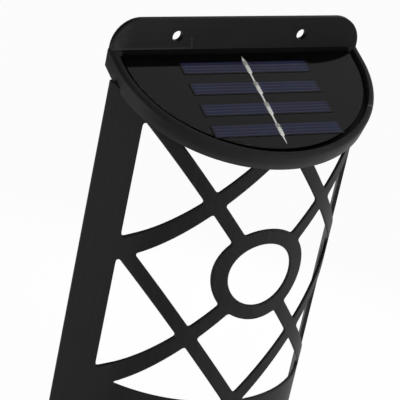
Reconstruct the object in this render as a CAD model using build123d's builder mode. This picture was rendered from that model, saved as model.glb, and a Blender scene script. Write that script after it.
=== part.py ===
"""Solar wall light: a tilted solar head over a half-round lattice shade.

Millimetres, +Z up, the wall on the XZ plane and the light in front of it at
negative Y.  The origin is on the wall, midway between the two screw holes.
"""

import math
import os

from build123d import *

# Wall flange
hole_spacing = 58.0
hole_r = 2.35
flange_half_width = 57.6
flange_t = 2.5
flange_top = 7.5
flange_corner_r = 12.0
edge_round = 0.8

# Solar tray: a half ellipse in a plane that tips down towards the front
head_half_width = 57.9
tray_reach = 51.4
tray_back = 10.3
tray_tilt = 21.0
tray_h = 7.4
panel_drop = 5.0
lip_h = 0.4
lip_round = 1.7
rim_t = 2.4
rim_side_t = 2.7
back_ledge = 1.0

# Solar panel, from the tray floor upwards
adhesive_t = 1.2
board_t = 1.6
cell_t = 0.25
cover_sheet_t = 1.0
panel_side_gap = 1.9
panel_front_gap = 3.0
panel_back_gap = 0.3
adhesive_inset = 3.0
cell_count = 4
cell_length = 59.4
cell_w = 6.5
cell_pitch = 11.4
cell_first = 12.0
busbar_x = -0.4
busbar_w = 2.0
busbar_head = 2.6
busbar_tail = 4.4

# Lattice shade
shade_half_chord = 60.2
shade_arc_r = 56.6
shade_arc_angle = 56.2
shade_wall = 1.5
shade_stand_off = 9.6
shade_bottom = 165.0
groove_depth = 2.0
groove_clear = 0.2
strip_w = 10.2
band_h = 23.3
ring_z = 81.8
ring_outer_r = 20.7
ring_inner_r = 14.1
crossing_inset = 0.5
lattice_half_z = 30.3
bar_w = 5.8
corner_r = 0.8

# Electronics pod under the tray
pod_half_length = 32.0
pod_back = 8.0
pod_depth = 26.0
pod_corner_r = 9.0
pod_wall = 2.0
pod_reach = 34.5
pod_overlap = 0.5
pod_cover_t = 2.4
gasket_t = 0.8
boss_r = 2.5
boss_inset = 4.8
boss_inset_y = 5.8

# Screws
screw_r = 1.15
screw_head_r = 2.2
screw_head_h = 1.3
screw_length = 7.0
screw_clear = 0.2
cross_slot_length = 3.2
cross_slot_w = 0.4
cross_slot_h = 0.6
pilot_clear = 0.05
board_screw_r = 0.8
board_screw_head_r = 1.6
board_screw_head_h = 1.2
board_screw_length = 4.0

# Battery and its contacts
battery_r = 5.25
battery_length = 44.5
battery_nub_r = 1.9
battery_nub_h = 0.8
battery_round = 0.4
battery_wall_gap = 0.3
battery_lift = 1.0
saddle_w = 2.0
saddle_x = 12.0
saddle_h = 3.2
saddle_clear = 0.1
contact_t = 0.5
contact_dome_r = 1.6
contact_dome_h = 0.6
contact_dome_taper = 30.0
contact_half_w = 4.2
contact_h = 8.0
contact_rib_t = 2.0
contact_tab_h = 1.5

# Circuit board and what stands on it
board_gap = 0.8
circuit_t = 1.2
circuit_w = 10.0
circuit_overhang = 0.6
circuit_lift = 4.0
post_r = 2.0
post_x = 19.0
chip_length = 5.0
chip_w = 4.0
chip_h = 1.6
inductor_r = 2.5
inductor_h = 2.6
inductor_round = 0.5
part_x = 9.0
led_size = 3.5
led_h = 1.9
led_taper = 8.0
lens_r = 4.2
lens_flange_r = 5.2
lens_flange_h = 0.8
lens_dome_h = 1.0
lens_clear = 0.2
lead_r = 0.6
lead_x = 1.3
lead_hole_r = 2.6

# Slide switch
switch_x = 12.0
switch_length = 8.0
switch_w = 4.2
switch_h = 2.4
slider_length = 2.4
slider_w = 1.8
slider_travel = 2.4
slider_clear = 0.3
slider_depth = 1.2
slider_proud = 1.0

# Places worked out from the sizes above
tilt_slope = math.tan(math.radians(tray_tilt))
tilt_cos = math.cos(math.radians(tray_tilt))
tray_normal = (0, -math.sin(math.radians(tray_tilt)), tilt_cos)
tray_up = Axis((0, 0, 0), tray_normal)
flange_bottom = -panel_drop - tray_h / tilt_cos
recess_depth = cover_sheet_t + board_t + adhesive_t
recess_back = flange_t + back_ledge
panel_side = rim_side_t + panel_side_gap
panel_front = rim_t + panel_front_gap
board_bottom = cover_sheet_t + board_t
pod_y = -(pod_back + pod_depth / 2)
cover_bottom = -pod_reach
cover_top = cover_bottom + pod_cover_t
pod_rim = cover_top + gasket_t
boss_x = pod_half_length - boss_inset
boss_y = pod_depth / 2 - boss_inset_y
battery_y = -(pod_back + pod_wall + battery_wall_gap + battery_r)
battery_z = cover_top + battery_lift + battery_r
contact_x = battery_length / 2 + contact_dome_h
circuit_back = battery_y - battery_r - board_gap
circuit_y = circuit_back - circuit_w / 2
circuit_half = contact_x + contact_t + circuit_overhang
circuit_bottom = cover_top + circuit_lift
circuit_top = circuit_bottom + circuit_t
slot_length = slider_length + slider_travel + 2 * slider_clear
slot_w = slider_w + 2 * slider_clear
slider_start = switch_x - slider_travel / 2
above_all = flange_top + head_half_width
lead_local_y = circuit_y / tilt_cos - board_bottom * tilt_slope


def tray_level(height):
    """Plane parallel to the panel's top, this far above it along its normal."""
    base = Plane(origin=(0, 0, -panel_drop), x_dir=(1, 0, 0), z_dir=tray_normal)
    return base.offset(height)


def tray_outline(inset_side, inset_front):
    """Half ellipse with a straight-sided back that runs on past the wall."""
    half_width = head_half_width - inset_side
    reach = tray_reach - inset_front
    with Locations((0, -tray_back)):
        Ellipse(half_width, reach)
        Rectangle(2 * half_width, 2 * reach, align=(Align.CENTER, Align.MIN))


def front_of(distance):
    """Plane parallel to the wall, whose normal points away from the wall."""
    return Plane.XZ.offset(distance)


def shade_section(clearance):
    """Plan of the shade's wall: an arc that runs on into two straight strips."""
    angle = math.radians(shade_arc_angle)
    outward = (math.sin(angle), -math.cos(angle))
    strip = (shade_half_chord - shade_arc_r * math.sin(angle)) / math.cos(angle)
    back = -shade_stand_off
    centre_y = back - strip * math.sin(angle) + shade_arc_r * math.cos(angle)

    def side(radius, overrun):
        arc_x = radius * outward[0]
        arc_y = centre_y + radius * outward[1]
        end_x = arc_x + (strip + overrun) * math.cos(angle)
        end_y = arc_y + (strip + overrun) * math.sin(angle)
        return (arc_x, arc_y), (end_x, end_y), (0, centre_y - radius)

    outer = side(shade_arc_r + clearance, clearance)
    inner = side(shade_arc_r - shade_wall - clearance, clearance)
    with BuildLine() as wall_line:
        for (arc_x, arc_y), (end_x, end_y), front in (outer, inner):
            Line((-end_x, end_y), (-arc_x, arc_y))
            ThreePointArc((-arc_x, arc_y), front, (arc_x, arc_y))
            Line((arc_x, arc_y), (end_x, end_y))
        for sign in (-1, 1):
            Line((sign * outer[1][0], outer[1][1]), (sign * inner[1][0], inner[1][1]))
    make_face(wall_line.edges())


def pod_outline(inset, mode=Mode.ADD):
    """Rounded rectangle of the pod, drawn in from its outer face."""
    length = 2 * (pod_half_length - inset)
    with Locations((0, pod_y)):
        RectangleRounded(length, pod_depth - 2 * inset, pod_corner_r - inset, mode=mode)


def boss_places():
    """Centres of the four cover screws."""
    return [(x, pod_y + y) for x in (-boss_x, boss_x) for y in (-boss_y, boss_y)]


os.makedirs("parts", exist_ok=True)

# Cutting tools for the head
with BuildPart() as recess:
    with BuildSketch(tray_level(-recess_depth)):
        tray_outline(rim_side_t, rim_t)
    extrude(amount=recess_depth + 2 * tray_h + above_all)
    split(bisect_by=front_of(recess_back), keep=Keep.TOP)

with BuildPart() as shade_groove:
    with BuildSketch(Plane.XY.offset(-shade_bottom)):
        shade_section(groove_clear)
    extrude(amount=shade_bottom + above_all)
    split(bisect_by=tray_level(groove_depth + groove_clear - tray_h), keep=Keep.BOTTOM)

# Pod walls, screw bosses, board posts and contact ribs, up to the tray's underside
with BuildPart() as pod:
    with BuildSketch(Plane.XY.offset(pod_rim)):
        pod_outline(0)
        pod_outline(pod_wall, Mode.SUBTRACT)
        with Locations(*boss_places()):
            Circle(boss_r)
        rib_back = -(pod_back + pod_wall / 2)
        rib_front = battery_y - contact_half_w
        rib_x = contact_x + contact_t + contact_rib_t / 2
        for sign in (-1, 1):
            with Locations((sign * rib_x, (rib_back + rib_front) / 2)):
                Rectangle(contact_rib_t, rib_back - rib_front)
        with Locations(*boss_places()):
            Circle(screw_r + pilot_clear, mode=Mode.SUBTRACT)
    extrude(amount=above_all - pod_rim)
    with BuildSketch(Plane.XY.offset(circuit_top)):
        with Locations((-post_x, circuit_y), (post_x, circuit_y)):
            Circle(post_r)
            Circle(board_screw_r + pilot_clear, mode=Mode.SUBTRACT)
    extrude(amount=above_all - circuit_top)
    split(bisect_by=tray_level(pod_overlap - tray_h), keep=Keep.BOTTOM)

# Wall flange, with its front edges rounded above the tray
with BuildPart() as flange:
    with BuildSketch(front_of(0)):
        with Locations((0, flange_bottom)):
            flange_face = Rectangle(
                2 * flange_half_width,
                flange_top - flange_bottom,
                align=(Align.CENTER, Align.MIN),
            )
        fillet(flange_face.vertices().group_by(Axis.Y)[-1], radius=flange_corner_r)
    extrude(amount=flange_t)
    front_edges = flange.faces().sort_by(Axis.Y)[0].edges()
    fillet(front_edges.sort_by(Axis.Z)[1:], radius=edge_round)

# Head: tray with its rim, wall flange and pod in one moulding
with BuildPart() as head:
    with BuildSketch(tray_level(lip_h)):
        tray_outline(0, 0)
    extrude(amount=-(lip_h + tray_h))
    fillet(head.faces().sort_by(tray_up)[-1].edges(), radius=lip_round)
    split(bisect_by=front_of(0), keep=Keep.TOP)
    add(flange.part)
    add(recess.part, mode=Mode.SUBTRACT)
    add(shade_groove.part, mode=Mode.SUBTRACT)
    add(pod.part)
    with BuildSketch(front_of(0)):
        with GridLocations(hole_spacing, 0, 2, 1):
            Circle(hole_r)
    extrude(amount=flange_t, mode=Mode.SUBTRACT)
    with BuildSketch(Plane.XY.offset(circuit_top)):
        with Locations((0, circuit_y)):
            Circle(lead_hole_r)
    extrude(amount=above_all, mode=Mode.SUBTRACT)
head.part.label = "solar_head"
export_step(head.part, "parts/solar_head.step")

# Solar panel stack: silicone pad, black board, cells, ribbon and clear resin
with BuildPart() as panel_adhesive:
    with BuildSketch(tray_level(-recess_depth)):
        tray_outline(panel_side + adhesive_inset, panel_front + adhesive_inset)
        with Locations((0, lead_local_y)):
            Circle(lead_hole_r + adhesive_inset)
            Circle(lead_hole_r, mode=Mode.SUBTRACT)
    extrude(amount=adhesive_t)
    split(bisect_by=front_of(recess_back + panel_back_gap), keep=Keep.TOP)
panel_adhesive.part.label = "panel_adhesive"
export_step(panel_adhesive.part, "parts/panel_adhesive.step")

with BuildPart() as panel_board:
    with BuildSketch(tray_level(-board_bottom)):
        tray_outline(panel_side, panel_front)
    extrude(amount=board_t)
    split(bisect_by=front_of(recess_back + panel_back_gap), keep=Keep.TOP)
panel_board.part.label = "panel_board"
export_step(panel_board.part, "parts/panel_board.step")

solar_cells = []
for index in range(cell_count):
    with BuildPart() as solar_cell:
        with BuildSketch(tray_level(-cover_sheet_t)):
            with Locations((0, -(cell_first + index * cell_pitch))):
                Rectangle(cell_length, cell_w)
        extrude(amount=cell_t)
    solar_cell.part.label = f"solar_cell_{index + 1}"
    export_step(solar_cell.part, f"parts/solar_cell_{index + 1}.step")
    solar_cells.append(solar_cell.part)

# The ribbon lies on the cells and steps down to the board between and beyond them
ribbon_start = -(cell_first - cell_w / 2 - busbar_head)
ribbon_end = -(cell_first + (cell_count - 1) * cell_pitch + cell_w / 2 + busbar_tail)
with BuildPart() as busbar_ribbon:
    with BuildSketch(tray_level(-cover_sheet_t)):
        with Locations((busbar_x, (ribbon_start + ribbon_end) / 2)):
            Rectangle(busbar_w, ribbon_start - ribbon_end)
    extrude(amount=2 * cell_t)
    for cell in solar_cells:
        add(cell, mode=Mode.SUBTRACT)
busbar_ribbon.part.label = "busbar_ribbon"
export_step(busbar_ribbon.part, "parts/busbar_ribbon.step")

with BuildPart() as panel_resin:
    with BuildSketch(tray_level(-cover_sheet_t)):
        tray_outline(panel_side, panel_front)
    extrude(amount=cover_sheet_t)
    split(bisect_by=front_of(recess_back + panel_back_gap), keep=Keep.TOP)
    for cell in solar_cells:
        add(cell, mode=Mode.SUBTRACT)
    add(busbar_ribbon.part, mode=Mode.SUBTRACT)
panel_resin.part.label = "panel_resin"
export_step(panel_resin.part, "parts/panel_resin.step")

# Gaps of the lattice, drawn sharp: the bars cross at the ring and beside the strips
window_half = shade_half_chord - strip_w
window_bottom = -(shade_bottom - band_h)
lattice_half_x = (window_half - crossing_inset) / 2
lattice_angle = math.degrees(math.atan2(lattice_half_z, lattice_half_x))
bar_length = 2 * (shade_half_chord + shade_bottom)
bar_rows = int(shade_bottom / lattice_half_z) + 1
with BuildSketch(Plane.XZ) as lattice_gaps:
    with Locations((0, window_bottom)):
        Rectangle(2 * window_half, -window_bottom, align=(Align.CENTER, Align.MIN))
    for row in range(-bar_rows, bar_rows + 1):
        with Locations((0, -ring_z + 2 * row * lattice_half_z)):
            Rectangle(bar_length, bar_w, rotation=lattice_angle, mode=Mode.SUBTRACT)
            Rectangle(bar_length, bar_w, rotation=-lattice_angle, mode=Mode.SUBTRACT)
    with Locations((0, -ring_z)):
        Circle(ring_outer_r, mode=Mode.SUBTRACT)
        Circle(ring_inner_r)

# Each gap that has room for its rounded corners is cut straight back, below the head
with BuildPart() as shade_openings:
    for gap in lattice_gaps.sketch_local.faces():
        if gap.area > corner_r * gap.outer_wire().length:
            with BuildSketch(Plane.XZ):
                add(gap)
                offset(amount=-corner_r, kind=Kind.INTERSECTION, mode=Mode.REPLACE)
                offset(amount=corner_r, kind=Kind.ARC, mode=Mode.REPLACE)
            extrude(amount=shade_half_chord + shade_arc_r)
    split(bisect_by=tray_level(-tray_h), keep=Keep.BOTTOM)

with BuildPart() as lattice_shade:
    with BuildSketch(Plane.XY.offset(-shade_bottom)):
        shade_section(0)
    extrude(amount=shade_bottom)
    split(bisect_by=tray_level(groove_depth - tray_h), keep=Keep.BOTTOM)
    add(shade_openings.part, mode=Mode.SUBTRACT)
lattice_shade.part.label = "lattice_shade"
export_step(lattice_shade.part, "parts/lattice_shade.step")

# Pod cover with its battery saddles, gasket and screws
with BuildPart() as base_cover:
    with BuildSketch(Plane.XY.offset(cover_bottom)):
        pod_outline(0)
        with Locations(*boss_places()):
            Circle(screw_r + screw_clear, mode=Mode.SUBTRACT)
        with Locations((0, circuit_y)):
            Circle(lens_r + lens_clear, mode=Mode.SUBTRACT)
        with Locations((switch_x, circuit_y)):
            Rectangle(slot_length, slot_w, mode=Mode.SUBTRACT)
    extrude(amount=pod_cover_t)
    with BuildSketch(Plane.XY.offset(cover_bottom)):
        with Locations(*boss_places()):
            Circle(screw_head_r + screw_clear)
    extrude(amount=screw_head_h, mode=Mode.SUBTRACT)
    with BuildSketch(Plane.XY.offset(cover_top)):
        with Locations((-saddle_x, battery_y), (saddle_x, battery_y)):
            Rectangle(saddle_w, 2 * battery_r - saddle_w)
    extrude(amount=saddle_h)
    with BuildSketch(Plane.YZ.offset(-battery_length)):
        with Locations((battery_y, battery_z)):
            Circle(battery_r + saddle_clear)
    extrude(amount=2 * battery_length, mode=Mode.SUBTRACT)
base_cover.part.label = "base_cover"
export_step(base_cover.part, "parts/base_cover.step")

with BuildPart() as cover_gasket:
    with BuildSketch(Plane.XY.offset(cover_top)):
        pod_outline(0)
        pod_outline(pod_wall, Mode.SUBTRACT)
    extrude(amount=gasket_t)
cover_gasket.part.label = "cover_gasket"
export_step(cover_gasket.part, "parts/cover_gasket.step")

with BuildPart() as cover_screws:
    with BuildSketch(Plane.XY.offset(cover_bottom)):
        with Locations(*boss_places()):
            Circle(screw_head_r)
    extrude(amount=screw_head_h)
    with BuildSketch(Plane.XY.offset(cover_bottom)):
        with Locations(*boss_places()):
            Circle(screw_r)
    extrude(amount=screw_length)
    with BuildSketch(Plane.XY.offset(cover_bottom)):
        with Locations(*boss_places()):
            Rectangle(cross_slot_length, cross_slot_w)
            Rectangle(cross_slot_w, cross_slot_length)
    extrude(amount=cross_slot_h, mode=Mode.SUBTRACT)
cover_screws.part.label = "cover_screws"
export_step(cover_screws.part, "parts/cover_screws.step")

# Rechargeable cell lying along X, with its positive cap towards +X
with BuildPart() as battery:
    with BuildSketch(Plane.YZ.offset(-battery_length / 2)):
        with Locations((battery_y, battery_z)):
            Circle(battery_r)
    extrude(amount=battery_length - battery_nub_h)
    fillet(battery.edges().filter_by(GeomType.CIRCLE), radius=battery_round)
    with BuildSketch(Plane.YZ.offset(battery_length / 2 - battery_nub_h)):
        with Locations((battery_y, battery_z)):
            Circle(battery_nub_r)
    extrude(amount=battery_nub_h)
battery.part.label = "battery"
export_step(battery.part, "parts/battery.step")

# Spring-steel contact plates against the ribs, each with a tab soldered to the board
for name, sign in (("positive", 1), ("negative", -1)):
    with BuildPart() as battery_contact:
        with BuildSketch(Plane.YZ.offset(sign * contact_x)):
            with Locations((battery_y, battery_z)):
                Rectangle(2 * contact_half_w, contact_h)
            with Locations((battery_y, circuit_top)):
                Rectangle(
                    battery_y - circuit_y,
                    contact_tab_h,
                    align=(Align.MAX, Align.MIN),
                )
        extrude(amount=sign * contact_t)
        with BuildSketch(Plane.YZ.offset(sign * contact_x)):
            with Locations((battery_y, battery_z)):
                Circle(contact_dome_r)
        extrude(amount=-sign * contact_dome_h, taper=contact_dome_taper)
    battery_contact.part.label = f"battery_contact_{name}"
    export_step(battery_contact.part, f"parts/battery_contact_{name}.step")

# Circuit board with the driver chip, inductor, light-emitting diode and switch
with BuildPart() as circuit_board:
    with BuildSketch(Plane.XY.offset(circuit_bottom)):
        with Locations((0, circuit_y)):
            Rectangle(2 * circuit_half, circuit_w)
        with Locations((-post_x, circuit_y), (post_x, circuit_y)):
            Circle(board_screw_r + screw_clear, mode=Mode.SUBTRACT)
    extrude(amount=circuit_t)
circuit_board.part.label = "circuit_board"
export_step(circuit_board.part, "parts/circuit_board.step")

with BuildPart() as board_screws:
    with BuildSketch(Plane.XY.offset(circuit_bottom)):
        with Locations((-post_x, circuit_y), (post_x, circuit_y)):
            Circle(board_screw_head_r)
    extrude(amount=-board_screw_head_h)
    with BuildSketch(Plane.XY.offset(circuit_bottom)):
        with Locations((-post_x, circuit_y), (post_x, circuit_y)):
            Circle(board_screw_r)
    extrude(amount=board_screw_length)
board_screws.part.label = "board_screws"
export_step(board_screws.part, "parts/board_screws.step")

with BuildPart() as driver_chip:
    with BuildSketch(Plane.XY.offset(circuit_top)):
        with Locations((-part_x, circuit_y)):
            Rectangle(chip_length, chip_w)
    extrude(amount=chip_h)
driver_chip.part.label = "driver_chip"
export_step(driver_chip.part, "parts/driver_chip.step")

with BuildPart() as inductor:
    with BuildSketch(Plane.XY.offset(circuit_top)):
        with Locations((part_x, circuit_y)):
            Circle(inductor_r)
    extrude(amount=inductor_h)
    fillet(inductor.edges().group_by(Axis.Z)[-1], radius=inductor_round)
inductor.part.label = "inductor"
export_step(inductor.part, "parts/inductor.step")

with BuildPart() as led:
    with BuildSketch(Plane.XY.offset(circuit_bottom)):
        with Locations((0, circuit_y)):
            Rectangle(led_size, led_size)
    extrude(amount=-led_h, taper=led_taper)
led.part.label = "led"
export_step(led.part, "parts/led.step")

with BuildPart() as led_lens:
    with BuildSketch(Plane.XY.offset(cover_top)):
        with Locations((0, circuit_y)):
            Circle(lens_flange_r)
    extrude(amount=lens_flange_h)
    with BuildSketch(Plane.XY.offset(cover_top)):
        with Locations((0, circuit_y)):
            Circle(lens_r)
    extrude(amount=-(pod_cover_t + lens_dome_h))
    fillet(led_lens.edges().group_by(Axis.Z)[0], radius=lens_dome_h)
led_lens.part.label = "led_lens"
export_step(led_lens.part, "parts/led_lens.step")

with BuildPart() as switch_body:
    with BuildSketch(Plane.XY.offset(circuit_bottom)):
        with Locations((switch_x, circuit_y)):
            Rectangle(switch_length, switch_w)
    extrude(amount=-switch_h)
    with BuildSketch(Plane.XY.offset(circuit_bottom - switch_h)):
        with Locations((switch_x, circuit_y)):
            Rectangle(slot_length, slot_w)
    extrude(amount=slider_depth + slider_clear, mode=Mode.SUBTRACT)
switch_body.part.label = "switch_body"
export_step(switch_body.part, "parts/switch_body.step")

with BuildPart() as switch_slider:
    with BuildSketch(Plane.XY.offset(cover_bottom - slider_proud)):
        with Locations((slider_start, circuit_y)):
            Rectangle(slider_length, slider_w)
    extrude(amount=circuit_bottom - switch_h + slider_depth - cover_bottom + slider_proud)
switch_slider.part.label = "switch_slider"
export_step(switch_slider.part, "parts/switch_slider.step")

# Two leads that drop from the panel's board, through the tray floor, to the circuit board
for name, sign in (("red", -1), ("black", 1)):
    with BuildPart() as panel_lead:
        with BuildSketch(Plane.XY.offset(circuit_top)):
            with Locations((sign * lead_x, circuit_y)):
                Circle(lead_r)
        extrude(amount=above_all)
        split(bisect_by=tray_level(-board_bottom), keep=Keep.BOTTOM)
    panel_lead.part.label = f"panel_lead_{name}"
    export_step(panel_lead.part, f"parts/panel_lead_{name}.step")
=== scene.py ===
"""Solar wall light: finishes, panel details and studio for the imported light.

Every object is in metres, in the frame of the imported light: the wall is the XZ
plane, the light stands in front of it at negative Y, and +Z is up.
"""

import math

import bpy
import numpy as np
from bpy.props import FloatProperty, FloatVectorProperty, IntProperty, PointerProperty
from mathutils import Matrix, Vector


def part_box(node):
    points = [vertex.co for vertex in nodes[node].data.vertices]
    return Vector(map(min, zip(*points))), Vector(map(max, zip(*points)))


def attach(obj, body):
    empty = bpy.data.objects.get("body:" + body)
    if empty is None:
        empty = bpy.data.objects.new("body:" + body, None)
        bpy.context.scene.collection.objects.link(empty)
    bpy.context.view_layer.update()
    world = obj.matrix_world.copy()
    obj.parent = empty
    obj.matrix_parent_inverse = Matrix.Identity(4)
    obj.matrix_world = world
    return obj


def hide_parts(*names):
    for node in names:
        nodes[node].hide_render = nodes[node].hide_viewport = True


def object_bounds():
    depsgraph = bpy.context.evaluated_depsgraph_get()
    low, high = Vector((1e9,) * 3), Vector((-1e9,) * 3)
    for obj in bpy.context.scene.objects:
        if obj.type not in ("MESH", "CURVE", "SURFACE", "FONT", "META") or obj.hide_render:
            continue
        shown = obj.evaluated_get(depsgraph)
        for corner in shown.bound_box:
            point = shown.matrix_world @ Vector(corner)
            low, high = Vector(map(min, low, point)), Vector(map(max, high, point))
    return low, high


bl_info = {
    "name": "Solar Wall Light",
    "version": (1, 0, 0),
    "blender": (4, 5, 0),
    "location": "View3D > Sidebar > Solar Light",
    "description": "Dresses a packed solar wall light and builds its studio",
    "category": "Object",
}

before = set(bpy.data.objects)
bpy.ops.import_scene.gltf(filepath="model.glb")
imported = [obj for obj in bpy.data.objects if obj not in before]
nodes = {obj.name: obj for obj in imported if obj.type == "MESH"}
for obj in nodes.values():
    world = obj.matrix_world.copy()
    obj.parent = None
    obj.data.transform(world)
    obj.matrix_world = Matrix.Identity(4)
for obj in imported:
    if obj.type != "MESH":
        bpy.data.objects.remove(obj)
cad_low, cad_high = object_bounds()

MM = 0.001
# Farther than any point of the light, in metres
FAR = 1.0
MAIN_BODY = "light"


def box_centre(node):
    """Middle of a node's box, as an array."""
    low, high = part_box(node)
    return (np.array(low) + np.array(high)) / 2


def panel_axes():
    """Origin and unit axes of the panel: right, up the slope, and out of its face.

    The slope runs from the middle of the lowest cell to the middle of the highest.
    """
    top, bottom = box_centre("solar_cell_1"), box_centre("solar_cell_4")
    right = np.array([1.0, 0.0, 0.0])
    upslope = (top - bottom) / np.linalg.norm(top - bottom)
    return top, right, upslope, np.cross(right, upslope)


PANEL_ORIGIN, PANEL_RIGHT, PANEL_UP, PANEL_OUT = panel_axes()
CELL_PITCH = np.linalg.norm(PANEL_ORIGIN - box_centre("solar_cell_2"))
CELL_BOX = np.array(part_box("solar_cell_1"))
# A tilted slab of width w and thickness t spans w cos + t sin along Y and w sin + t cos along Z
CELL_W, CELL_T = np.linalg.solve(
    [[PANEL_UP[1], PANEL_UP[2]], [PANEL_UP[2], PANEL_UP[1]]], (CELL_BOX[1] - CELL_BOX[0])[1:]
)
CELL_COUNT = 4


class MouldingSettings(bpy.types.PropertyGroup):
    """Black moulded plastic of the head, the shade and the cover."""

    colour: FloatVectorProperty(
        name="Plastic colour",
        description="Colour of the black moulded plastic",
        subtype="COLOR",
        size=3,
        default=(0.0170, 0.0170, 0.0172),
    )
    roughness: FloatProperty(
        name="Roughness",
        description="Roughness of the plastic between its scuffs",
        default=0.5,
        min=0.0,
        max=1.0,
    )
    shine: FloatProperty(
        name="Shine",
        description="Specular level of the plastic",
        default=0.06,
        min=0.0,
        max=1.0,
    )
    grain: FloatProperty(
        name="Grain",
        description="Size of the moulded grain",
        subtype="DISTANCE",
        default=0.35 * MM,
    )
    head_tone: FloatProperty(
        name="Head tone",
        description="Colour of the head as a share of the plastic's colour",
        default=1.08,
    )
    shade_tone: FloatProperty(
        name="Shade tone",
        description="Colour of the shade as a share of the plastic's colour",
        default=1.2,
    )
    # Where the painted sheen on the rim's lower edge starts, and how far it takes to grow full
    sheen_start: FloatProperty(
        name="Rub start",
        description="From the cells' height down to where the rim is rubbed pale",
        subtype="DISTANCE",
        default=3.0 * MM,
    )
    sheen_reach: FloatProperty(
        name="Rub reach",
        description="How far down the rubbed tone takes to grow full",
        subtype="DISTANCE",
        default=2.6 * MM,
    )
    flange: FloatProperty(
        name="Flange thickness",
        description="Thickness of the wall flange",
        subtype="DISTANCE",
        default=2.5 * MM,
    )
    edge_round: FloatProperty(
        name="Edge rounding",
        description="Width of the rounding on the moulded edges",
        subtype="DISTANCE",
        default=0.3 * MM,
    )


class ShadeSettings(bpy.types.PropertyGroup):
    """Half-round lattice shade."""

    arc_r: FloatProperty(
        name="Arc radius",
        description="Outer radius of the rounded front",
        subtype="DISTANCE",
        default=56.6 * MM,
    )
    arc_angle: FloatProperty(
        name="Arc angle",
        description="Turn from the front to where each flat strip starts",
        subtype="ANGLE",
        default=math.radians(56.2),
    )
    wall: FloatProperty(
        name="Wall",
        description="Thickness of the shade",
        subtype="DISTANCE",
        default=1.5 * MM,
    )
    strip_w: FloatProperty(
        name="Strip width",
        description="Width of the closed strips at both sides, seen from the front",
        subtype="DISTANCE",
        default=10.2 * MM,
    )
    band_h: FloatProperty(
        name="Band height",
        description="Height of the closed band at the bottom",
        subtype="DISTANCE",
        default=23.3 * MM,
    )
    ring_drop: FloatProperty(
        name="Ring drop",
        description="From the wall screws down to the ring's centre",
        subtype="DISTANCE",
        default=81.8 * MM,
    )
    ring_outer: FloatProperty(
        name="Ring outer radius",
        description="Outer radius of the ring",
        subtype="DISTANCE",
        default=20.7 * MM,
    )
    ring_inner: FloatProperty(
        name="Ring inner radius",
        description="Inner radius of the ring",
        subtype="DISTANCE",
        default=14.1 * MM,
    )
    row_half: FloatProperty(
        name="Half row",
        description="Half the height between two crossings in line",
        subtype="DISTANCE",
        default=30.3 * MM,
    )
    crossing_inset: FloatProperty(
        name="Crossing inset",
        description="How far inside the strips the bars cross",
        subtype="DISTANCE",
        default=0.5 * MM,
    )
    bar_w: FloatProperty(
        name="Bar width",
        description="Width of the slanted bars",
        subtype="DISTANCE",
        default=5.8 * MM,
    )
    corner: FloatProperty(
        name="Corner rounding",
        description="Reach of the rounding in the gaps' corners",
        subtype="DISTANCE",
        default=1.2 * MM,
    )
    seat: FloatProperty(
        name="Seat depth",
        description="How far the top edge goes up into the head",
        subtype="DISTANCE",
        default=2.0 * MM,
    )
    edge_round: FloatProperty(
        name="Edge rounding",
        description="Radius on the edges of the bars",
        subtype="DISTANCE",
        default=0.55 * MM,
    )
    grid: FloatProperty(
        name="Grid",
        description="Spacing of the surface grid",
        subtype="DISTANCE",
        default=0.75 * MM,
    )


class PanelSettings(bpy.types.PropertyGroup):
    """Solar panel: clear skin, cells and ribbon."""

    board_colour: FloatVectorProperty(
        name="Board colour",
        description="Colour of the board behind the cells",
        subtype="COLOR",
        size=3,
        default=(0.0014, 0.0014, 0.0016),
    )
    cell_colour: FloatVectorProperty(
        name="Cell colour",
        description="Colour of the silicon between its fingers",
        subtype="COLOR",
        size=3,
        default=(0.0135, 0.0110, 0.0400),
    )
    side_colour: FloatVectorProperty(
        name="Side colour",
        description="Colour of the cells' thin sides",
        subtype="COLOR",
        size=3,
        default=(0.0200, 0.0200, 0.0210),
    )
    finger_colour: FloatVectorProperty(
        name="Finger colour",
        description="Colour of the printed finger lines",
        subtype="COLOR",
        size=3,
        default=(0.0580, 0.0600, 0.1100),
    )
    shine: FloatProperty(
        name="Shine",
        description="Specular level of the board and the cells under the resin",
        default=0.15,
        min=0.0,
        max=1.0,
    )
    fingers: IntProperty(
        name="Fingers",
        description="Printed lines along each cell",
        default=4,
        min=1,
    )
    second_colour: FloatVectorProperty(
        name="Second cell colour",
        description="Bluer tone that clouds the silicon",
        subtype="COLOR",
        size=3,
        default=(0.0095, 0.0155, 0.0540),
    )
    pad_width: FloatProperty(
        name="Pad width",
        description="Width of the silver print across each cell, under the ribbon",
        subtype="DISTANCE",
        default=2.1 * MM,
    )
    ribbon_wide: FloatProperty(
        name="Ribbon width",
        description="Width of the ribbon where it is soldered to a cell",
        subtype="DISTANCE",
        default=1.7 * MM,
    )
    ribbon_narrow: FloatProperty(
        name="Ribbon neck",
        description="Width of the ribbon between two cells",
        subtype="DISTANCE",
        default=0.85 * MM,
    )
    ribbon_head: FloatProperty(
        name="Ribbon head",
        description="Length of the pointed lead above the first cell",
        subtype="DISTANCE",
        default=2.6 * MM,
    )
    ribbon_tail: FloatProperty(
        name="Ribbon tail",
        description="Length of the ribbon past the last cell",
        subtype="DISTANCE",
        default=4.4 * MM,
    )
    ribbon_shift: FloatProperty(
        name="Ribbon shift",
        description="Place of the ribbon's middle, right of the panel's middle",
        subtype="DISTANCE",
        default=0.65 * MM,
    )
    straight_side: FloatProperty(
        name="Straight side",
        description="Length of the panel's straight sides, from back edge to half ellipse",
        subtype="DISTANCE",
        default=6.23 * MM,
    )


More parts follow.
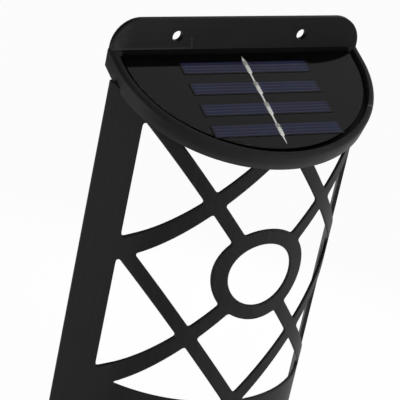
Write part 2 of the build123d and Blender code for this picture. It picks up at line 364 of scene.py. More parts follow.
class StudioSettings(bpy.types.PropertyGroup):
    """Camera and light of the studio."""

    azimuth: FloatProperty(
        name="Azimuth",
        description="Camera's turn to the left of the light's front",
        subtype="ANGLE",
        default=math.radians(33.07),
    )
    elevation: FloatProperty(
        name="Elevation",
        description="Camera's height over the horizon",
        subtype="ANGLE",
        default=math.radians(25.15),
    )
    roll: FloatProperty(
        name="Roll",
        description="Camera's lean about its own axis",
        subtype="ANGLE",
        default=math.radians(12.16),
    )
    aim: FloatVectorProperty(
        name="Aim",
        description="Point that the camera looks at",
        subtype="TRANSLATION",
        size=3,
        default=(-11.55 * MM, -16.30 * MM, -66.98 * MM),
    )
    distance: FloatProperty(
        name="Distance",
        description="From the camera to its aim",
        subtype="DISTANCE",
        default=860.14 * MM,
    )
    lens: FloatProperty(
        name="Lens",
        description="Focal length in millimetres",
        default=189.4,
    )
    floor_drop: FloatProperty(
        name="Floor drop",
        description="From the light's lowest point down to the floor",
        subtype="DISTANCE",
        default=0.6,
    )


class Socket:
    """A node's output that can be used in a Python expression."""

    def __init__(self, owner, output):
        self.owner = owner
        self.output = output

    def math(self, operation, *values):
        """Adds a Math node with this output first."""
        return self.owner.node("ShaderNodeMath", {"operation": operation}, self, *values)

    def __add__(self, other):
        return self.math("ADD", other)

    def __sub__(self, other):
        return self.math("SUBTRACT", other)

    def __rsub__(self, other):
        return self.owner.node("ShaderNodeMath", {"operation": "SUBTRACT"}, other, self)

    def __mul__(self, other):
        return self.math("MULTIPLY", other)

    def __truediv__(self, other):
        return self.math("DIVIDE", other)

    def __abs__(self):
        return self.math("ABSOLUTE")

    __radd__ = __add__
    __rmul__ = __mul__


class Nodes:
    """A node tree, with one method that adds any node."""

    def __init__(self, tree):
        self.tree = tree

    def set(self, socket, value):
        """Links an output to a socket, or writes a constant on it."""
        if isinstance(value, Socket):
            self.tree.links.new(value.output, socket)
        else:
            socket.default_value = value

    def node(self, kind, settings=None, *values, out=0, **named):
        """Adds a node, sets it up, then fills its sockets by order or by name."""
        added = self.tree.nodes.new(kind)
        for key, value in (settings or {}).items():
            if key == "stops":
                ramp(added.color_ramp, value)
            else:
                setattr(added, key, value)
        for socket, value in zip(added.inputs, values):
            self.set(socket, value)
        for key, value in named.items():
            self.set(added.inputs[key.replace("_", " ")], value)
        return Socket(self, added.outputs[out])


class Shader(Nodes):
    """A material's nodes around its Principled shader."""

    def __init__(self, name):
        self.material = bpy.data.materials.new(name)
        self.material.use_nodes = True
        super().__init__(self.material.node_tree)
        self.surface = self.tree.nodes["Principled BSDF"]

    def over(self, mask, colour):
        """Lays a colour over the base colour where the mask is 1."""
        below = self.surface.inputs["Base Color"].links[0].from_socket
        self.principled(Base_Color=self.mix(mask, Socket(self, below), colour))

    def principled(self, **named):
        """Fills the Principled shader's sockets by name."""
        for key, value in named.items():
            self.set(self.surface.inputs[key.replace("_", " ")], value)

    def place(self):
        """Object coordinates."""
        return self.node("ShaderNodeTexCoord", out="Object")

    def noise(self, size, detail=2.0, roughness=0.5, stretch=(1.0, 1.0, 1.0)):
        """Noise whose features are about this size in metres, stretched along the axes."""
        place = self.node(
            "ShaderNodeMapping", None, Vector=self.place(), Scale=[1.0 / k for k in stretch]
        )
        return self.node(
            "ShaderNodeTexNoise",
            None,
            Vector=place,
            Scale=1.0 / size,
            Detail=detail,
            Roughness=roughness,
        )

    def mix(self, factor, first, second):
        """Colour mix from first to second."""
        return self.node(
            "ShaderNodeMix",
            {"data_type": "RGBA"},
            out="Result",
            Factor=factor,
            A=colour4(first),
            B=colour4(second),
        )

    def steps(self, value, *stops):
        """Colour ramp's grey through the given place and level pairs."""
        return self.node("ShaderNodeValToRGB", {"stops": stops}, value)

    def bump(self, height, strength, distance):
        """Normal from a height."""
        return self.node(
            "ShaderNodeBump", None, Height=height, Strength=strength, Distance=distance
        )


def colour4(value):
    """A colour with its alpha, or a link left as it is."""
    if isinstance(value, Socket):
        return value
    return (*tuple(value)[:3], 1.0)


def ramp(color_ramp, stops):
    """Sets a ramp's stops from place and level pairs."""
    for index, (place, level) in enumerate(stops):
        if index < len(color_ramp.elements):
            stop = color_ramp.elements[index]
            stop.position = place
        else:
            stop = color_ramp.elements.new(place)
        stop.color = (level, level, level, 1.0)


def along(shader, origin, direction):
    """Distance of a surface point from origin along a direction, in metres."""
    offset = shader.node(
        "ShaderNodeVectorMath", {"operation": "SUBTRACT"}, shader.place(), tuple(origin)
    )
    return shader.node(
        "ShaderNodeVectorMath",
        {"operation": "DOT_PRODUCT"},
        offset,
        tuple(direction),
        out="Value",
    )


def within(value, low, high, soft):
    """1 where a value is between low and high, with soft ends."""
    rise = (value - low) / soft
    fall = (high - value) / soft
    return rise.math("MINIMUM", fall).math("MINIMUM", 1.0).math("MAXIMUM", 0.0)


def spot(shader, centre, radius):
    """1 within a radius of a point given in millimetres, with a soft rim."""
    apart = shader.node(
        "ShaderNodeVectorMath",
        {"operation": "DISTANCE"},
        shader.place(),
        tuple(np.array(centre) * MM),
        out="Value",
    )
    return within(apart, -FAR, radius * MM, 0.4 * MM)


def black_moulding(name, settings, tone, streak):
    """Black moulded plastic: fine grain, cloudy scuffs, drag streaks along one axis, dust."""
    shader = Shader(name)
    grain = shader.noise(settings.grain, 3.0, 0.6)
    scuff = shader.noise(14 * MM, 4.0, 0.65)
    drag = shader.noise(1.1 * MM, 3.0, 0.6, stretch=streak)
    speck = shader.steps(shader.noise(0.9 * MM, 2.0), (0.70, 0.0), (0.78, 1.0))
    colour = np.array(settings.colour) * tone
    cloud = shader.steps(scuff * 0.55 + drag * 0.45, (0.36, 0.0), (0.66, 1.0))
    cloudy = shader.mix(cloud, colour * 0.82, colour * 1.22)
    shader.principled(
        Base_Color=shader.mix(speck * 0.3, cloudy, colour * 1.8),
        Roughness=settings.roughness - 0.12 + scuff * 0.14 + drag * 0.1,
        Specular_IOR_Level=settings.shine,
        Normal=shader.bump(grain + drag * 0.4, 0.3, 0.1 * MM),
    )
    return shader


def head_moulding(settings):
    """Plastic of the head, with the marks of its use and its painted light and shade.

    The flange has painted shade that darkens it to its right end, a painted highlight in
    patches at its left end, a scrape beside a screw hole and a painted highlight along its
    foot.  The rim has a painted sheen along its lower edge, and nicks at the right painted pale
    as whitened plastic with a painted glint.  Painted shade darkens the ledge along the
    panel's back edge.
    """
    streak = (30.0, 1.0, 1.0)
    shader = black_moulding("black_plastic", settings, settings.head_tone, streak)
    colour = np.array(settings.colour) * settings.head_tone
    x, y, z = (along(shader, (0.0, 0.0, 0.0), axis) for axis in np.eye(3))
    height = along(shader, PANEL_ORIGIN, PANEL_OUT)
    patch = shader.noise(3.0 * MM, 3.0, 0.6)
    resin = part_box("panel_resin")[1]
    front = -settings.flange
    flange = within(y, front - 0.1 * MM, front + 0.4 * MM, 0.05 * MM)

    painted_shade, painted_left_highlight, scraped, painted_sheen = (colour * share for share in (0.55, 2.2, 4.0, 2.6))
    # Painted shade: the flange is painted darker towards its right end, away from the light at
    # the left
    left_light = (0.5 - x / (2.0 * resin[0])).math("MAXIMUM", 0.0).math("MINIMUM", 1.0)
    shader.over(flange * (1.0 - left_light), painted_shade)
    # Painted highlight: the flange's left end is painted paler, in patches
    left_end = within(x, -FAR, -50.0 * MM, 5.0 * MM)
    patchy = shader.steps(patch, (0.35, 0.0), (0.65, 1.0))
    shader.over(flange * (left_end * patchy) * 0.7, painted_left_highlight)
    scrape = within(x + z * 0.2, -22.9 * MM, -22.4 * MM, 0.15 * MM)
    scrape = scrape * within(z, -5.2 * MM, 0.0, 1.0 * MM)
    shader.over(flange * scrape * 0.6, scraped)
    # Painted highlight: a pale line painted along the flange's foot, over its left part
    foot_highlight = within(z, -5.6 * MM, -4.7 * MM, 0.4 * MM)
    foot_highlight = foot_highlight * within(x, -60.0 * MM, -20.0 * MM, 4.0 * MM)
    shader.over(flange * foot_highlight * patch, painted_sheen)

    # Painted sheen: the rim is painted paler towards its lower edge, for the light it catches
    # from below
    lower_sheen = within(height, -FAR, -settings.sheen_start, settings.sheen_reach)
    shader.over(lower_sheen * (0.35 + patch * 0.5), painted_sheen)
    scratch_at, nick_at = (47.7, -34.0, -17.6), (53.2, -21.2, -15.0)
    scratch_y, scratch_half = scratch_at[1] * MM, 0.3 * MM
    scratch = within(y, scratch_y - scratch_half, scratch_y + scratch_half, scratch_half)
    nicks = spot(shader, scratch_at, 2.0) * scratch + spot(shader, nick_at, 1.1) * 0.5
    # Nicks in the rim, painted pale: whitened plastic, with a painted glint off their faces
    nick_glint = (0.16, 0.16, 0.155)
    shader.over(nicks * shader.steps(patch, (0.38, 0.0), (0.50, 1.0)), nick_glint)

    # Painted shade: the ledge between the panel's back edge and the flange is painted near black
    ledge_shade = within(y, resin[1] - 0.3 * MM, front - 0.1 * MM, 0.1 * MM)
    ledge_shade = ledge_shade * within(x, -resin[0], resin[0], 0.4 * MM)
    ledge_shade = ledge_shade * within(height, -settings.sheen_start, FAR, 0.1 * MM)
    painted_ledge_shade = (0.0015, 0.0015, 0.0015)
    shader.over(ledge_shade, painted_ledge_shade)
    return shader.material


def plain_finish(name, colour, roughness, grain_size, metallic=0.0, variation=0.15):
    """Even finish with a fine noise in its colour, roughness and surface."""
    shader = Shader(name)
    grain = shader.noise(grain_size, 3.0)
    colour = np.array(colour[:3])
    shader.principled(
        Base_Color=shader.mix(grain, colour * (1 - variation), colour * (1 + variation)),
        Roughness=roughness - 0.05 + grain * 0.1,
        Metallic=metallic,
        Normal=shader.bump(grain, 0.15, 0.05 * MM),
    )
    return shader.material


def cell_finish(settings):
    """Dark blue silicon with printed lines along it, clouded from violet to blue, under resin."""
    shader = Shader("silicon_cell")
    # Place across one cell, from 0 to 1, repeated at the cells' pitch
    slope = along(shader, PANEL_ORIGIN - PANEL_UP * CELL_W / 2, PANEL_UP)
    across = slope.math("FLOORED_MODULO", CELL_PITCH) / CELL_W
    phase = (across * settings.fingers).math("FRACT")
    finger = shader.steps(abs(phase - 0.5), (0.10, 1.0), (0.26, 0.0))
    cloud = shader.steps(shader.noise(11 * MM, 2.0), (0.38, 0.0), (0.62, 1.0))
    silicon = shader.mix(cloud, settings.cell_colour, settings.second_colour)
    printed = shader.mix(finger * 0.5, silicon, settings.finger_colour)
    # The resin's haze blurs the cells' edges into the board
    x = along(shader, (0.0, 0.0, 0.0), PANEL_RIGHT)
    end_blur, edge_blur = 1.6 * MM, 0.14
    inner = within(x, CELL_BOX[0][0], CELL_BOX[1][0], end_blur)
    inner = inner * within(across, 0.0, 1.0, edge_blur)
    # The cells' thin sides mirror nothing white, so a paler tone keeps them level with the board
    height = along(shader, PANEL_ORIGIN, PANEL_OUT)
    skin = 0.01 * MM
    side = within(height, -FAR, CELL_T / 2 - skin, skin)
    face = shader.mix(inner, settings.board_colour, printed)
    shader.principled(
        Base_Color=shader.mix(side, face, settings.side_colour),
        Roughness=0.06 + cloud * 0.02,
        Specular_IOR_Level=settings.shine,
    )
    return shader.material


def board_finish(settings):
    """Black board under the resin, with the resin's shine: woven tone."""
    shader = Shader("panel_board")
    weave = shader.noise(0.8 * MM, 2.0)
    colour = np.array(settings.board_colour)
    shader.principled(
        Base_Color=shader.mix(weave, colour * 0.7, colour * 1.3),
        Roughness=0.06 + weave * 0.02,
        Specular_IOR_Level=settings.shine,
    )
    return shader.material


def clear_finish():
    """Clear skin, almost see-through: its shine is on the board and the cells under it."""
    shader = Shader("clear_skin")
    haze = shader.noise(18 * MM, 1.0)
    shader.principled(
        Base_Color=(0.001, 0.001, 0.001, 1.0),
        Roughness=0.05 + haze * 0.04,
        Specular_IOR_Level=0.0,
        Alpha=0.04,
    )
    return shader.material


def silver_finish(name, dull, bright, roughness):
    """Solder or silver print: bright, slightly lumpy."""
    shader = Shader(name)
    lump = shader.noise(1.2 * MM, 2.0)
    shader.principled(
        Base_Color=shader.mix(lump, dull, bright),
        Metallic=0.2,
        Roughness=roughness - 0.1 + lump * 0.2,
        Normal=shader.bump(lump, 0.35, 0.12 * MM),
    )
    return shader.material


def lens_finish():
    """Frosted clear plastic of the lens under the pod."""
    shader = Shader("frosted_lens")
    frost = shader.noise(0.4 * MM, 2.0)
    shader.principled(
        Base_Color=(0.85, 0.86, 0.86, 1.0),
        Roughness=0.3 + frost * 0.15,
        Alpha=0.55,
        Normal=shader.bump(frost, 0.2, 0.05 * MM),
    )
    return shader.material


def paint(node, material):
    """Gives a carried-over node one material on all its slots."""
    mesh = nodes[node].data
    mesh.materials.clear()
    mesh.materials.append(material)


def mesh_object(name, points, faces, material):
    """Smooth mesh object with its place in its mesh."""
    mesh = bpy.data.meshes.new(name)
    mesh.from_pydata(points.tolist(), [], faces)
    mesh.materials.append(material)
    mesh.shade_smooth()
    piece = bpy.data.objects.new(name, mesh)
    bpy.context.scene.collection.objects.link(piece)
    return piece


def closed_shell(rings):
    """Points and faces of rings of points joined in order and capped at both ends.

    The rings run anticlockwise about the way from the first to the last.  Neighbouring
    rings are joined by quads, and each end is closed by a fan about its ring's middle.
    """
    count, size = rings.shape[:2]
    index = np.arange(count * size).reshape(count, size)
    after = np.roll(index, -1, axis=1)
    quads = np.stack([index[:-1], after[:-1], after[1:], index[1:]], axis=-1)
    start = np.stack([after[0], index[0], np.full(size, count * size)], axis=-1)
    end = np.stack([index[-1], after[-1], np.full(size, count * size + 1)], axis=-1)
    points = np.concatenate([rings.reshape(-1, 3), rings[[0, -1]].mean(axis=1)])
    return points, quads.reshape(-1, 4).tolist() + start.tolist() + end.tolist()


def shells_object(name, shells, material):
    """One mesh object from several closed shells."""
    points, faces = [], []
    for shell_points, shell_faces in shells:
        first = sum(len(block) for block in points)
        points.append(shell_points)
        faces += [[first + corner for corner in face] for face in shell_faces]
    return mesh_object(name, np.concatenate(points), faces, material)


def on_panel(x, slope, height):
    """Points from distances right, up the slope and out of the panel, from cell 1."""
    return (
        PANEL_ORIGIN
        + x[..., None] * PANEL_RIGHT
        + slope[..., None] * PANEL_UP
        + height[..., None] * PANEL_OUT
    )


def smooth(value):
    """Rises smoothly from 0 to 1 as value does, and stays level outside."""
    value = np.clip(value, 0.0, 1.0)
    return value * value * (3.0 - 2.0 * value)


def shade_point(settings, round_way, level, depth):
    """Points of the shade's wall, an arc that runs on into two flat strips.

    round_way is the distance round the outer face from its front, level the height and
    depth the distance in from the outer face.  The way in is straight back, as the gaps
    are moulded, and turns square to the strips towards their ends.
    """
    front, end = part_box("lattice_shade")[0][1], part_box("lattice_shade")[1][0]
    turn = np.clip(round_way / settings.arc_r, -settings.arc_angle, settings.arc_angle)
    x = settings.arc_r * np.sin(turn) + (round_way - turn * settings.arc_r) * np.cos(turn)
    square = smooth((abs(x) - end + settings.strip_w) / settings.strip_w * 2.0)
    x = x - square * depth * np.sin(turn)
    radius = settings.arc_r - depth
    arc_end = radius * math.sin(settings.arc_angle)
    arc_x = np.clip(x, -arc_end, arc_end)
    y = front + settings.arc_r - np.sqrt(radius**2 - arc_x**2)
    y = y + (abs(x) - abs(arc_x)) * math.tan(settings.arc_angle)
    return np.stack([x, y, level + 0.0 * x], axis=-1)


def least(first, second, reach):
    """The lesser of two distances, rounded off where they are within reach of each other."""
    share = np.clip(0.5 + 0.5 * (second - first) / reach, 0.0, 1.0)
    return second + (first - second) * share - reach * share * (1.0 - share)


def outside_shade(settings, round_way, level):
    """How far a point of the wall is outside the plastic; negative inside it.

    A gap is bounded by the strips, the band, the head, two sets of parallel bars and the
    ring, so the least distance to them, rounded in the corners, is the depth in the gap.
    The ring's hole and the wall's own ends are added as further outsides.
    """
    low, high = np.array(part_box("lattice_shade"))
    x, y, _ = np.moveaxis(shade_point(settings, round_way, level, 0.0), -1, 0)
    top = high[2] + (y - high[1]) * PANEL_UP[2] / PANEL_UP[1]
    window = high[0] - settings.strip_w
    half_x = (window - settings.crossing_inset) / 2
    steep = math.hypot(half_x, settings.row_half)
    drop = level + settings.ring_drop
    gap = window - abs(x)
    bounds = [level - low[2] - settings.band_h, top - settings.seat / PANEL_UP[1] - level]
    for lean in (-1.0, 1.0):
        line = drop - lean * x * settings.row_half / half_x
        apart = abs((line + settings.row_half) % (2 * settings.row_half) - settings.row_half)
        bounds.append(apart * half_x / steep - settings.bar_w / 2)
    bounds.append(np.hypot(x, drop) - settings.ring_outer)
    for bound in bounds:
        gap = least(gap, bound, settings.corner)
    hole = settings.ring_inner - np.hypot(x, drop)
    arc_end = settings.arc_r * math.sin(settings.arc_angle)
    strip = (high[0] - arc_end) / math.cos(settings.arc_angle)
    end = abs(round_way) - settings.arc_r * settings.arc_angle - strip
    return np.max([gap, hole, end, low[2] - level, level - top], axis=0)


def outside_slope(settings, round_way, level):
    """Outside distance and its gradient, by small steps round and up the wall."""
    step = 0.01 * MM
    value = outside_shade(settings, round_way, level)
    round_slope = (outside_shade(settings, round_way + step, level) - value) / step
    level_slope = (outside_shade(settings, round_way, level + step) - value) / step
    return value, round_slope, level_slope


def lattice_shell(settings):
    """Lattice as a grid on the wall, trimmed to the plastic, with rounded edges.

    Grid cells whose middles are plastic are kept.  The corners on their border move on to
    the plastic's edge, and quarter circles join the outer face to the inner face there.
    """
    low, high = np.array(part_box("lattice_shade"))
    half_way = settings.arc_r * settings.arc_angle + (high[0] - low[0]) / 2
    round_line = np.arange(-half_way, half_way, settings.grid)
    level_line = np.arange(low[2] - settings.grid, high[2] + settings.grid, settings.grid)
    round_way, level = np.meshgrid(round_line, level_line)
    middle = settings.grid / 2
    kept = outside_shade(settings, round_way[:-1, :-1] + middle, level[:-1, :-1] + middle) < 0.0
    index = np.arange(round_way.size).reshape(round_way.shape)
    corners = [index[:-1, :-1], index[:-1, 1:], index[1:, 1:], index[1:, :-1]]
    used, quads = np.unique(np.stack(corners, axis=-1)[kept], return_inverse=True)
    quads = quads.reshape(-1, 4)
    round_way, level = round_way.ravel()[used], level.ravel()[used]

    # An edge of only one kept cell is on the border
    edges = np.stack([quads, np.roll(quads, -1, axis=1)], axis=-1).reshape(-1, 2)
    key = edges.min(axis=1) * len(used) + edges.max(axis=1)
    _, where, count = np.unique(key, return_inverse=True, return_counts=True)
    border_edges = edges[count[where.ravel()] == 1]
    border = np.unique(border_edges)
    edge_round_way, edge_level = round_way[border], level[border]
    newton_steps = 6
    for _ in range(newton_steps):
        value, round_slope, level_slope = outside_slope(settings, edge_round_way, edge_level)
        steep = round_slope**2 + level_slope**2
        edge_round_way = edge_round_way - value * round_slope / steep
        edge_level = edge_level - value * level_slope / steep
    value, round_slope, level_slope = outside_slope(settings, edge_round_way, edge_level)
    steep = np.hypot(round_slope, level_slope)

    # Rounded edge: from the outer face, by two quarter circles, to the inner face
    turn = np.radians([0.0, 45.0, 90.0])
    inset = settings.edge_round * (1.0 - np.sin(turn))
    depth = settings.edge_round * (1.0 - np.cos(turn))
    inset = np.concatenate([inset, inset[::-1]])[:, None]
    depth = np.concatenate([depth, settings.wall - depth[::-1]])[:, None]
    rows_round_way = edge_round_way - inset * round_slope / steep
    rows_level = edge_level - inset * level_slope / steep
    round_way[border], level[border] = rows_round_way[0], rows_level[0]
    faces = [shade_point(settings, round_way, level, d) for d in (0.0, settings.wall)]
    rows = shade_point(settings, rows_round_way, rows_level, depth)[1:-1]

    # Rows of indices from the outer face's border to the inner face's
    total = len(used)
    own = np.searchsorted(border, border_edges)
    start = [border_edges]
    start += [2 * total + row * len(border) + own for row in range(len(rows))]
    start.append(total + border_edges)
    walls = [
        np.stack([a[:, 0], b[:, 0], b[:, 1], a[:, 1]], axis=-1) for a, b in zip(start, start[1:])
    ]
    points = np.concatenate([*faces, rows.reshape(-1, 3)])
    every = np.concatenate([quads, total + quads[:, ::-1], *walls])
    return points, every.tolist()


def strap(settings, slope, half_width, height, half_thickness):
    """Closed strap that runs up the panel: an ellipse carried along the slope."""
    turn = np.linspace(0.0, 2.0 * np.pi, 16, endpoint=False)[None, :]
    across = settings.ribbon_shift + half_width[:, None] * np.sin(turn)
    out = height[:, None] + half_thickness * np.cos(turn)
    return closed_shell(on_panel(across, slope[:, None] + 0.0 * turn, out))


def lumps(slope, seed):
    """Uneven edge of solder: two waves along the slope."""
    slow = 0.13 * np.sin(slope / (0.21 * MM) + seed)
    quick = 0.10 * np.sin(slope / (0.09 * MM) + 2.0 * seed)
    return 1.0 + slow + quick


def cell_pads(settings):
    """Silver print across the middle of each cell, from its lower to its upper edge."""
    half_t = 0.03 * MM
    inset = 0.12 * MM
    for cell in range(CELL_COUNT):
        middle = -cell * CELL_PITCH
        slope = middle + np.linspace(-CELL_W / 2 + inset, CELL_W / 2 - inset, 96)
        end = np.minimum(slope - slope[0], slope[-1] - slope) / (0.5 * MM)
        half_width = settings.pad_width / 2 * lumps(slope, cell) * (0.75 + 0.25 * smooth(end))
        height = np.full_like(slope, CELL_T / 2 + half_t / 2)
        yield strap(settings, slope, half_width, height, half_t)


def ribbon_lengths(settings):
    """Ribbon from each cell's print down to the next cell, and the lead above the first.

    Each length starts a third of the way down its cell, lies on the print, steps down
    to the board at the cell's lower edge and ends at the next cell's upper edge.
    """
    half_t = 0.09 * MM
    on_cell = CELL_T / 2 + half_t
    on_board = -CELL_T / 2 + half_t
    wide, narrow = settings.ribbon_wide / 2, settings.ribbon_narrow / 2
    for cell in range(CELL_COUNT):
        middle = -cell * CELL_PITCH
        last = cell == CELL_COUNT - 1
        tail_end = middle - CELL_W / 2 - settings.ribbon_tail
        low = tail_end if last else middle + CELL_W / 2 - CELL_PITCH
        slope = np.linspace(low, middle + CELL_W / 6, 144)
        climb = smooth((slope - middle + CELL_W / 2 + 0.5 * MM) / (0.5 * MM))
        height = on_board + (on_cell - on_board) * climb
        end = smooth((slope[-1] - slope) / (1.2 * MM))
        half_width = narrow + (wide - narrow) * climb * end
        half_width = half_width * (1.0 + (lumps(slope, cell) - 1.0) * climb)
        point = 0.4 + 0.6 * smooth((slope - low) / settings.ribbon_tail) if last else 1.0
        yield strap(settings, slope, half_width * point, height, half_t)
    slope = CELL_W / 2 + np.linspace(0.0, settings.ribbon_head, 24)
    taper = 1.0 - 0.85 * smooth((slope - CELL_W / 2) / settings.ribbon_head)
    yield strap(settings, slope, wide * taper, np.full_like(slope, on_board), half_t)


def panel_outline(settings, height):
    """Outline of the panel's face at a height: back edge, straight sides and half ellipse.

    The points run anticlockwise, seen from outside, from the right back corner.
    """
    low, high = np.array(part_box("panel_resin"))
    rise = height * PANEL_OUT[1]
    back = (high[1] - PANEL_ORIGIN[1] - rise) / PANEL_UP[1]
    front = (low[1] - PANEL_ORIGIN[1] - rise) / PANEL_UP[1]
    half = high[0]
    waist = back - settings.straight_side
    turn = np.linspace(-np.pi, 0.0, 97)
    edge = np.linspace(1.0, -1.0, 33)[:-1]
    side = np.linspace(0.0, 1.0, 5)[:-1]
    left, right = np.full_like(side, -half), np.full_like(side[1:], half)
    x = np.concatenate([half * edge, left, half * np.cos(turn), right])
    slope = np.concatenate(
        [
            np.full_like(edge, back),
            back + (waist - back) * side,
            waist + (waist - front) * np.sin(turn),
            waist + (back - waist) * side[1:],
        ]
    )
    return x, slope


def clear_skin(settings):
    """Lid of clear resin: flat, with a rounded edge that comes down to the board.

    Rings of the panel's outline, each moved in by an inset and out by a height.
    """
    face = face_height()
    under = 0.5 * MM
    board = -CELL_T / 2 + 0.02 * MM
    profile = np.array(
        [
            (4.0 * MM, under),
            (1.6 * MM, under),
            (1.2 * MM, under),
            (0.9 * MM, board),
            (0.0, board),
            (0.0, face - 0.45 * MM),
            (0.1 * MM, face - 0.22 * MM),
            (0.3 * MM, face - 0.09 * MM),
            (0.8 * MM, face - 0.03 * MM),
            (2.0 * MM, face - 0.006 * MM),
            (4.0 * MM, face),
        ]
    )
    x, slope = panel_outline(settings, face)
    middle = (slope.max() + slope.min()) / 2
    reach = np.hypot(x, slope - middle)
    keep = 1.0 - profile[:, :1] / reach[None, :]
    height = profile[:, 1:] + 0.0 * keep
    return closed_shell(on_panel(x * keep, middle + (slope - middle) * keep, height))


def face_height():
    """Height of the resin's face over the middle of the cells."""
    high = np.array(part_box("panel_resin"))[1]
    back_top = np.array([0.0, high[1], high[2]])
    return float((back_top - PANEL_ORIGIN) @ PANEL_OUT)


def main_settings(context):
    """The light's settings on the scene."""
    return context.scene.solar_light


class SOLARLIGHT_OT_mouldings(bpy.types.Operator):
    """Black plastic of the head and the pod's cover"""

    bl_idname = "solar_light.mouldings"
    bl_label = "Finish Mouldings"

    def execute(self, context):
        settings = main_settings(context).moulding
        plastic = head_moulding(settings)
        for node in ("solar_head", "base_cover"):
            paint(node, plastic)
            weld = nodes[node].modifiers.new("weld", "WELD")
            weld.merge_threshold = 0.002 * MM
            bevel = nodes[node].modifiers.new("edges", "BEVEL")
            bevel.width = settings.edge_round
            bevel.segments = 2
            bevel.limit_method = "ANGLE"
            bevel.angle_limit = math.radians(40)
            bevel.harden_normals = True
        return {"FINISHED"}


class SOLARLIGHT_OT_shade(bpy.types.Operator):
    """Lattice shade with rounded edges"""

    bl_idname = "solar_light.shade"
    bl_label = "Build Shade"

    def execute(self, context):
        settings = main_settings(context)
        moulding = settings.moulding
        streak = (1.0, 1.0, 30.0)
        plastic = black_moulding("black_shade", moulding, moulding.shade_tone, streak)
        shade = mesh_object("shade_lattice", *lattice_shell(settings.shade), plastic.material)
        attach(shade, MAIN_BODY)
        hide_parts("lattice_shade")
        return {"FINISHED"}


class SOLARLIGHT_OT_panel(bpy.types.Operator):
    """Board, cells, ribbon and clear skin of the solar panel"""

    bl_idname = "solar_light.panel"
    bl_label = "Build Panel"

    def execute(self, context):
        settings = main_settings(context).panel
        paint("panel_board", board_finish(settings))
        paint("panel_adhesive", plain_finish("silicone", (0.02, 0.02, 0.02), 0.6, 0.8 * MM))
        cells = cell_finish(settings)
        for index in range(CELL_COUNT):
            paint(f"solar_cell_{index + 1}", cells)
        print_finish = silver_finish("silver_print", (0.30, 0.30, 0.28), (0.52, 0.52, 0.50), 0.5)
        pads = shells_object("cell_pads", cell_pads(settings), print_finish)
        solder = silver_finish("tinned_ribbon", (0.70, 0.70, 0.66), (1.0, 1.0, 0.97), 0.4)
        ribbon = shells_object("cell_ribbon", ribbon_lengths(settings), solder)
        skin = shells_object("panel_skin", [clear_skin(settings)], clear_finish())
        slots = ((pads, "ribbon_silver"), (ribbon, "ribbon_silver"), (skin, "clear_resin"))
        for piece, slot in slots:
            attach(piece, MAIN_BODY)
        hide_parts("busbar_ribbon")
        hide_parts("panel_resin")
        return {"FINISHED"}


class SOLARLIGHT_OT_inside(bpy.types.Operator):
    """Battery, contacts, circuit board, switch and the rest of the pod"""

    bl_idname = "solar_light.inside"
    bl_label = "Finish Inside"

    finishes = {
        "cover_gasket": ((0.012, 0.012, 0.012), 0.8, 0.6, 0.0),
        "cover_screws": ((0.55, 0.55, 0.53), 0.3, 0.5, 1.0),
        "board_screws": ((0.55, 0.55, 0.53), 0.3, 0.5, 1.0),
        "battery": ((0.03, 0.22, 0.09), 0.3, 2.0, 0.0),
        "battery_contact_positive": ((0.70, 0.69, 0.65), 0.28, 0.6, 1.0),
        "battery_contact_negative": ((0.70, 0.69, 0.65), 0.28, 0.6, 1.0),
        "circuit_board": ((0.02, 0.12, 0.045), 0.35, 0.7, 0.0),
        "driver_chip": ((0.015, 0.015, 0.016), 0.55, 0.3, 0.0),
        "inductor": ((0.05, 0.05, 0.055), 0.7, 0.4, 0.0),
        "led": ((0.85, 0.70, 0.20), 0.35, 0.4, 0.0),
        "switch_body": ((0.03, 0.03, 0.03), 0.5, 0.4, 0.0),
        "switch_slider": ((0.02, 0.02, 0.02), 0.55, 0.35, 0.0),
        "panel_lead_red": ((0.35, 0.015, 0.012), 0.5, 0.5, 0.0),
        "panel_lead_black": ((0.012, 0.012, 0.012), 0.5, 0.5, 0.0),
    }

    def execute(self, context):
        for node, (colour, roughness, grain, metallic) in self.finishes.items():
            paint(node, plain_finish(node, colour, roughness, grain * MM, metallic))
        paint("led_lens", lens_finish())
        return {"FINISHED"}


class SOLARLIGHT_OT_studio(bpy.types.Operator):
    """White studio: floor, soft lights and the camera"""

    bl_idname = "solar_light.studio"
    bl_label = "Build Studio"

    def execute(self, context):
        settings = main_settings(context).studio
        build_floor(settings)
        build_world(context.scene)
        build_lamps()
        build_flag()
        build_camera(context.scene, settings)
        context.scene.view_settings.view_transform = "Standard"
        return {"FINISHED"}


def shown_rays(tree):
    """1 for what the camera sees, straight, in a reflection or through something clear."""
    camera = tree.node("ShaderNodeLightPath", out="Is Camera Ray")
    glossy = tree.node("ShaderNodeLightPath", out="Is Glossy Ray")
    clear = tree.node("ShaderNodeLightPath", out="Is Transmission Ray")
    return camera.math("MAXIMUM", glossy).math("MAXIMUM", clear)


def square(half):
    """Corners of a level square about the origin, from half its side."""
    corners = [(-1.0, -1.0, 0.0), (1.0, -1.0, 0.0), (1.0, 1.0, 0.0), (-1.0, 1.0, 0.0)]
    return half * np.array(corners)


def build_floor(settings):
    """Wide pale floor below the light: white where it is seen, and it keeps a shadow."""
    half, glow_share = 6.0, 0.95
    corners = square(half) + (0.0, 0.0, cad_low[2] - settings.floor_drop)
    shader = Shader("pale_floor")
    tone = shader.noise(0.4, 2.0)
    shader.principled(
        Base_Color=shader.mix(tone, (0.93, 0.93, 0.93), (0.95, 0.95, 0.95)), Roughness=0.9
    )
    glow = shader.node("ShaderNodeEmission", None, Strength=1.0)
    body = Socket(shader, shader.surface.outputs["BSDF"])
    blend = shader.node("ShaderNodeMixShader", None, shown_rays(shader) * glow_share, body, glow)
    shader.set(shader.tree.nodes["Material Output"].inputs["Surface"], blend)
    mesh_object("floor", corners, [(0, 1, 2, 3)], shader.material)


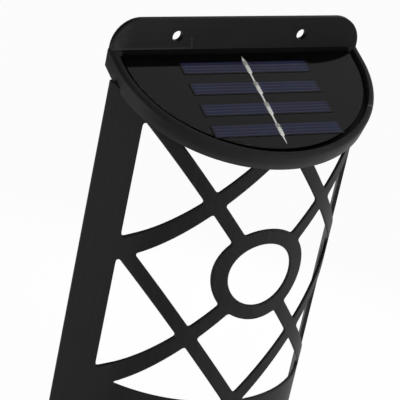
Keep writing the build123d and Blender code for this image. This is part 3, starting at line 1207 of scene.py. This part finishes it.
def build_world(scene):
    """White to the camera and in reflections, dimmer as a light."""
    world = bpy.data.worlds.new("studio_white")
    scene.world = world
    world.use_nodes = True
    nodes_of_world = Nodes(world.node_tree)
    back = world.node_tree.nodes["Background"]
    nodes_of_world.set(back.inputs["Color"], (1.0, 1.0, 1.0, 1.0))
    as_light = 0.30
    strength = as_light + shown_rays(nodes_of_world) * (1.0 - as_light)
    nodes_of_world.set(back.inputs["Strength"], strength)


def aimed(name, data, azimuth, elevation, distance):
    """Object that faces the light from an azimuth and elevation in degrees."""
    target = Vector((np.array(cad_low) + np.array(cad_high)) / 2)
    turn, rise = math.radians(azimuth), math.radians(elevation)
    level = math.cos(rise)
    way = Vector((math.sin(turn) * level, -math.cos(turn) * level, math.sin(rise)))
    facing = bpy.data.objects.new(name, data)
    facing.matrix_world = (-way).to_track_quat("-Z", "Y").to_matrix().to_4x4()
    facing.location = target + way * distance
    bpy.context.scene.collection.objects.link(facing)
    return facing


def build_lamps():
    """Soft key from the front right, and two weaker lamps at the left and the back right."""
    lamps = (
        ("key_softbox", 35.0, 15.0, 1.5, 0.8, 17.0, True, False),
        ("left_softbox", -108.0, -20.0, 1.0, 0.7, 6.5, False, True),
        ("back_softbox", 145.0, -10.0, 1.5, 0.6, 4.0, True, True),
    )
    for name, azimuth, elevation, distance, size, power, matt, gloss in lamps:
        data = bpy.data.lights.new(name, "AREA")
        data.shape = "DISK"
        data.size = size
        data.energy = power
        lamp = aimed(name, data, azimuth, elevation, distance)
        lamp.visible_diffuse = matt
        lamp.visible_glossy = gloss


def build_flag():
    """Black card behind the light, at the upper left, that keeps the white off its edges."""
    half = 0.9
    shader = Shader("black_card")
    felt = shader.noise(0.02, 2.0)
    shader.principled(Base_Color=shader.mix(felt, (0.002,) * 3, (0.004,) * 3), Roughness=0.9)
    mesh = bpy.data.meshes.new("flag")
    mesh.from_pydata(square(half).tolist(), [], [(0, 1, 2, 3)])
    mesh.materials.append(shader.material)
    flag = aimed("flag", mesh, 198.0, 22.0, 1.1)
    flag.visible_camera = False


def build_camera(scene, settings):
    """Camera at the given turn, height and lean about its aim."""
    data = bpy.data.cameras.new("camera")
    data.lens = settings.lens
    data.sensor_width = 36.0
    data.clip_end = 50.0
    camera = bpy.data.objects.new("camera", data)
    forward = Vector(
        (
            math.sin(settings.azimuth) * math.cos(settings.elevation),
            math.cos(settings.azimuth) * math.cos(settings.elevation),
            -math.sin(settings.elevation),
        )
    )
    turn = forward.to_track_quat("-Z", "Y").to_matrix()
    lean = Matrix.Rotation(settings.roll, 3, "Z")
    camera.matrix_world = (turn @ lean).to_4x4()
    camera.location = Vector(settings.aim) - forward * settings.distance
    scene.collection.objects.link(camera)
    scene.camera = camera


class SolarLightSettings(bpy.types.PropertyGroup):
    """All settings of the light and its studio."""

    moulding: PointerProperty(type=MouldingSettings)
    shade: PointerProperty(type=ShadeSettings)
    panel: PointerProperty(type=PanelSettings)
    studio: PointerProperty(type=StudioSettings)


class SOLARLIGHT_PT_sidebar(bpy.types.Panel):
    """Sidebar panel that lists the building steps"""

    bl_idname = "SOLARLIGHT_PT_sidebar"
    bl_label = "Solar Wall Light"
    bl_space_type = "VIEW_3D"
    bl_region_type = "UI"
    bl_category = "Solar Light"

    def draw(self, context):
        for operator in OPERATORS:
            self.layout.operator(operator.bl_idname)


OPERATORS = (
    SOLARLIGHT_OT_mouldings,
    SOLARLIGHT_OT_shade,
    SOLARLIGHT_OT_panel,
    SOLARLIGHT_OT_inside,
    SOLARLIGHT_OT_studio,
)
CLASSES = (
    MouldingSettings,
    ShadeSettings,
    PanelSettings,
    StudioSettings,
    SolarLightSettings,
    *OPERATORS,
    SOLARLIGHT_PT_sidebar,
)


def register():
    """Registers the classes and puts the settings on the scene."""
    for cls in CLASSES:
        bpy.utils.register_class(cls)
    bpy.types.Scene.solar_light = PointerProperty(type=SolarLightSettings)


def unregister():
    """Takes the settings and the classes away."""
    del bpy.types.Scene.solar_light
    for cls in reversed(CLASSES):
        bpy.utils.unregister_class(cls)


def main():
    """Builds the pieces in order."""
    register()
    bpy.ops.solar_light.mouldings()
    bpy.ops.solar_light.shade()
    bpy.ops.solar_light.panel()
    bpy.ops.solar_light.inside()
    bpy.ops.solar_light.studio()


if __name__ == "__main__":
    main()
